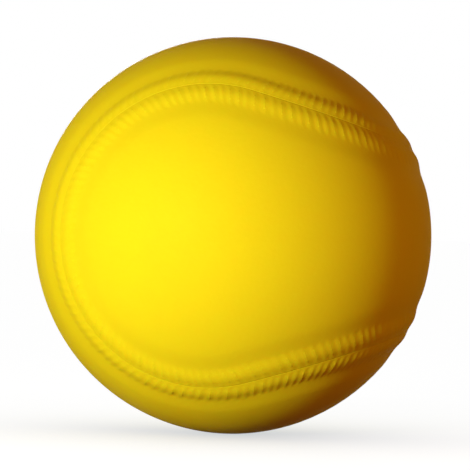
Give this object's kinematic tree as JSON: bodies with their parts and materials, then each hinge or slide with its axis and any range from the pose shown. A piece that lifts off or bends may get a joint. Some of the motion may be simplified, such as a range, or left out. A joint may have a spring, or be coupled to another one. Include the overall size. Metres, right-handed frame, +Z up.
{
  "type": "sponge baseball",
  "caption": "Soft practice baseball: a sponge core in a yellow cover of figure-eight panels, sewn along a raised chevron seam, for throwing, catching and batting.",
  "frame": {"origin": "centre of the ball", "axes": "+Z up as the ball lies on the smooth middle of the rear panel's lower lobe, +X through the middle of the front panel's neck, -Y towards the viewer of the picture"},
  "size_m": [0.073, 0.073, 0.073],
  "materials": {
    "sponge": "open-cell sponge rubber, matt",
    "cover": "yellow synthetic leather, satin, fine grain",
    "thread": "yellow waxed polyester thread, satin"
  },
  "bodies": {
    "root": {"sponge_core": "sponge", "cover_panel_front": "cover", "cover_panel_rear": "cover", "stitch_row_front": "thread", "stitch_row_rear": "thread"}
  },
  "joints": []
}
